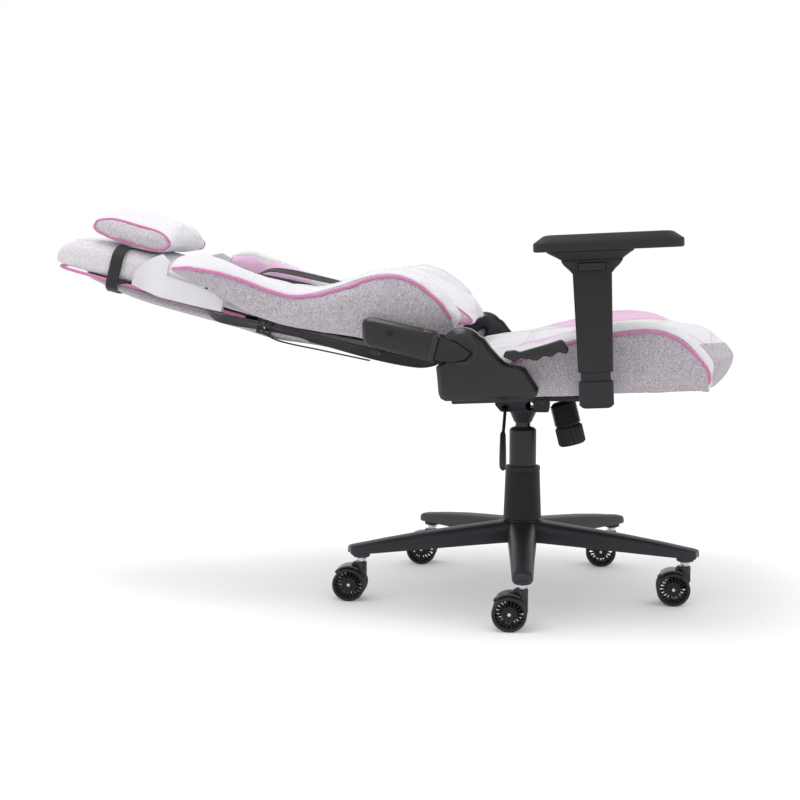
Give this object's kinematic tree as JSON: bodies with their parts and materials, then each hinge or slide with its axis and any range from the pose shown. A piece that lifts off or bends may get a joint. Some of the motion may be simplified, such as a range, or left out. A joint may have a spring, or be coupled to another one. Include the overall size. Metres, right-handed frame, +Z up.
{
  "type": "gaming chair",
  "caption": "Reclining gaming chair with bucket seat, winged back, head and lumbar pillows, adjustable armrests and a five-arm caster base.",
  "frame": {"origin": "on the floor under the middle of the chair's overall box, with the back reclined", "axes": "+X is the way the sitter faces, +Y the sitter's left, +Z up; the column axis stands at x = 0.2345"},
  "size_m": [1.2216, 0.72, 0.709],
  "materials": {
    "black_steel": "satin powder coat",
    "bright_steel": "polished",
    "dark_plastic": "fine matte moulding",
    "white_plastic": "semi-gloss",
    "pad_rubber": "soft matte polyurethane",
    "wheel_tread": "ribbed matte",
    "white_fabric": "heather weave",
    "grey_fabric": "heather weave",
    "pink_fabric": "woven panels and piping",
    "black_webbing": "woven webbing"
  },
  "bodies": {
    "base": {"star_base": "black_steel", "gas_cylinder": "black_steel", "column_cover": "dark_plastic"},
    "lift": {"piston_rod": "bright_steel"},
    "mechanism": {"mechanism_body": "black_steel", "tilt_axle": "bright_steel", "spring_sleeve": "dark_plastic"},
    "tension_knob": {"tension_knob": "dark_plastic"},
    "lift_lever": {"lift_lever_rod": "black_steel", "lift_lever_grip": "dark_plastic"},
    "seat": {"seat_cushion": "white_fabric", "seat_pan": "black_steel", "seat_plate": "black_steel", "sync_rod": "bright_steel", "hinge_bracket_right": "black_steel", "side_cover_right": "dark_plastic", "arm_bracket_right": "dark_plastic", "hinge_bracket_left": "black_steel", "side_cover_left": "dark_plastic", "arm_bracket_left": "dark_plastic"},
    "recline_lever": {"recline_lever": "dark_plastic"},
    "back": {"back_cushion": "white_fabric", "back_panel": "grey_fabric", "back_frame": "black_steel", "head_pillow": "white_fabric", "head_strap": "black_webbing", "lumbar_pillow": "white_fabric", "back_bolster_right": "grey_fabric", "back_arm_right": "black_steel", "arm_cover_right": "dark_plastic", "belt_rim_right": "white_plastic", "lumbar_strap_right": "black_webbing", "back_bolster_left": "grey_fabric", "back_arm_left": "black_steel", "arm_cover_left": "dark_plastic", "belt_rim_left": "white_plastic", "lumbar_strap_left": "black_webbing"},
    "armrest_right": {"arm_sleeve_right": "dark_plastic"},
    "height_button_right": {"height_button_right": "dark_plastic"},
    "pad_carrier_right": {"pad_carrier_right": "dark_plastic"},
    "arm_pad_right": {"arm_pad_right": "pad_rubber"},
    "armrest_left": {"arm_sleeve_left": "dark_plastic"},
    "height_button_left": {"height_button_left": "dark_plastic"},
    "pad_carrier_left": {"pad_carrier_left": "dark_plastic"},
    "arm_pad_left": {"arm_pad_left": "pad_rubber"},
    "caster_0": {"caster_stem_0": "bright_steel", "caster_hood_0": "dark_plastic"},
    "wheels_0": {"caster_wheels_0": "wheel_tread"},
    "caster_1": {"caster_stem_1": "bright_steel", "caster_hood_1": "dark_plastic"},
    "wheels_1": {"caster_wheels_1": "wheel_tread"},
    "caster_2": {"caster_stem_2": "bright_steel", "caster_hood_2": "dark_plastic"},
    "wheels_2": {"caster_wheels_2": "wheel_tread"},
    "caster_3": {"caster_stem_3": "bright_steel", "caster_hood_3": "dark_plastic"},
    "wheels_3": {"caster_wheels_3": "wheel_tread"},
    "caster_4": {"caster_stem_4": "bright_steel", "caster_hood_4": "dark_plastic"},
    "wheels_4": {"caster_wheels_4": "wheel_tread"}
  },
  "joints": [
    {"name": "seat_height", "type": "slide", "parent": "base", "child": "lift", "axis": [0, 0, 1], "range_m": [0, 0.08]},
    {"name": "seat_swivel", "type": "hinge", "parent": "lift", "child": "mechanism", "pos_m": [0.2345, 0, 0.356], "axis": [0, 0, 1], "continuous": true},
    {"name": "tension_turn", "type": "hinge", "parent": "mechanism", "child": "tension_knob", "pos_m": [0.31818, 0, 0.31267], "axis": [-0.2419, 0, 0.9703], "range_deg": [-540, 540]},
    {"name": "lever_pull", "type": "hinge", "parent": "mechanism", "child": "lift_lever", "pos_m": [0.2035, -0.036, 0.349], "axis": [-1, 0, 0], "range_deg": [0, 8], "stiffness_Nm_per_rad": 2, "springref_deg": -17.19},
    {"name": "seat_tilt", "type": "hinge", "parent": "mechanism", "child": "seat", "pos_m": [0.2695, 0, 0.362], "axis": [0, 1, 0], "range_deg": [-12, 0], "stiffness_Nm_per_rad": 160, "springref_deg": 25.78},
    {"name": "back_recline", "type": "hinge", "parent": "seat", "child": "back", "pos_m": [0.14455, 0, 0.47265], "axis": [0, 1, 0], "range_deg": [0, 68]},
    {"name": "recline_release", "type": "hinge", "parent": "seat", "child": "recline_lever", "pos_m": [0.22418, 0, 0.46012], "axis": [0, -1, 0], "range_deg": [0, 20], "stiffness_Nm_per_rad": 1.5, "springref_deg": -17.19},
    {"name": "armrest_height_right", "type": "slide", "parent": "seat", "child": "armrest_right", "axis": [-0.0436, 0, 0.999], "range_m": [-0.014, 0.055]},
    {"name": "button_press_right", "type": "slide", "parent": "armrest_right", "child": "height_button_right", "axis": [0, 1, 0], "range_m": [0, 0.0016], "stiffness_N_per_m": 900, "springref_m": -0.003},
    {"name": "pad_turn_right", "type": "hinge", "parent": "armrest_right", "child": "pad_carrier_right", "pos_m": [0.35824, -0.31, 0.62212], "axis": [-0.0436, 0, 0.999], "range_deg": [-20, 20]},
    {"name": "pad_slide_right", "type": "slide", "parent": "pad_carrier_right", "child": "arm_pad_right", "axis": [0.999, 0, 0.0436], "range_m": [-0.025, 0.025]},
    {"name": "armrest_height_left", "type": "slide", "parent": "seat", "child": "armrest_left", "axis": [-0.0436, 0, 0.999], "range_m": [-0.014, 0.055]},
    {"name": "button_press_left", "type": "slide", "parent": "armrest_left", "child": "height_button_left", "axis": [0, -1, 0], "range_m": [0, 0.0016], "stiffness_N_per_m": 900, "springref_m": -0.003},
    {"name": "pad_turn_left", "type": "hinge", "parent": "armrest_left", "child": "pad_carrier_left", "pos_m": [0.35824, 0.31, 0.62212], "axis": [-0.0436, 0, 0.999], "range_deg": [-20, 20]},
    {"name": "pad_slide_left", "type": "slide", "parent": "pad_carrier_left", "child": "arm_pad_left", "axis": [0.999, 0, 0.0436], "range_m": [-0.025, 0.025]},
    {"name": "caster_swivel_0", "type": "hinge", "parent": "base", "child": "caster_0", "pos_m": [0.2482, -0.30769, 0], "axis": [0, 0, 1], "continuous": true},
    {"name": "wheel_roll_0", "type": "hinge", "parent": "caster_0", "child": "wheels_0", "pos_m": [0.2272, -0.30769, 0.03], "axis": [0, 1, 0], "continuous": true},
    {"name": "caster_swivel_1", "type": "hinge", "parent": "base", "child": "caster_1", "pos_m": [0.53137, -0.08205, 0], "axis": [0, 0, 1], "continuous": true},
    {"name": "wheel_roll_1", "type": "hinge", "parent": "caster_1", "child": "wheels_1", "pos_m": [0.51037, -0.08205, 0.03], "axis": [0, 1, 0], "continuous": true},
    {"name": "caster_swivel_2", "type": "hinge", "parent": "base", "child": "caster_2", "pos_m": [0.40427, 0.25699, 0], "axis": [0, 0, 1], "continuous": true},
    {"name": "wheel_roll_2", "type": "hinge", "parent": "caster_2", "child": "wheels_2", "pos_m": [0.38327, 0.25699, 0.03], "axis": [0, 1, 0], "continuous": true},
    {"name": "caster_swivel_3", "type": "hinge", "parent": "base", "child": "caster_3", "pos_m": [0.04256, 0.24088, 0], "axis": [0, 0, 1], "continuous": true},
    {"name": "wheel_roll_3", "type": "hinge", "parent": "caster_3", "child": "wheels_3", "pos_m": [0.02156, 0.24088, 0.03], "axis": [0, 1, 0], "continuous": true},
    {"name": "caster_swivel_4", "type": "hinge", "parent": "base", "child": "caster_4", "pos_m": [-0.0539, -0.10812, 0], "axis": [0, 0, 1], "continuous": true},
    {"name": "wheel_roll_4", "type": "hinge", "parent": "caster_4", "child": "wheels_4", "pos_m": [-0.0749, -0.10812, 0.03], "axis": [0, 1, 0], "continuous": true}
  ]
}
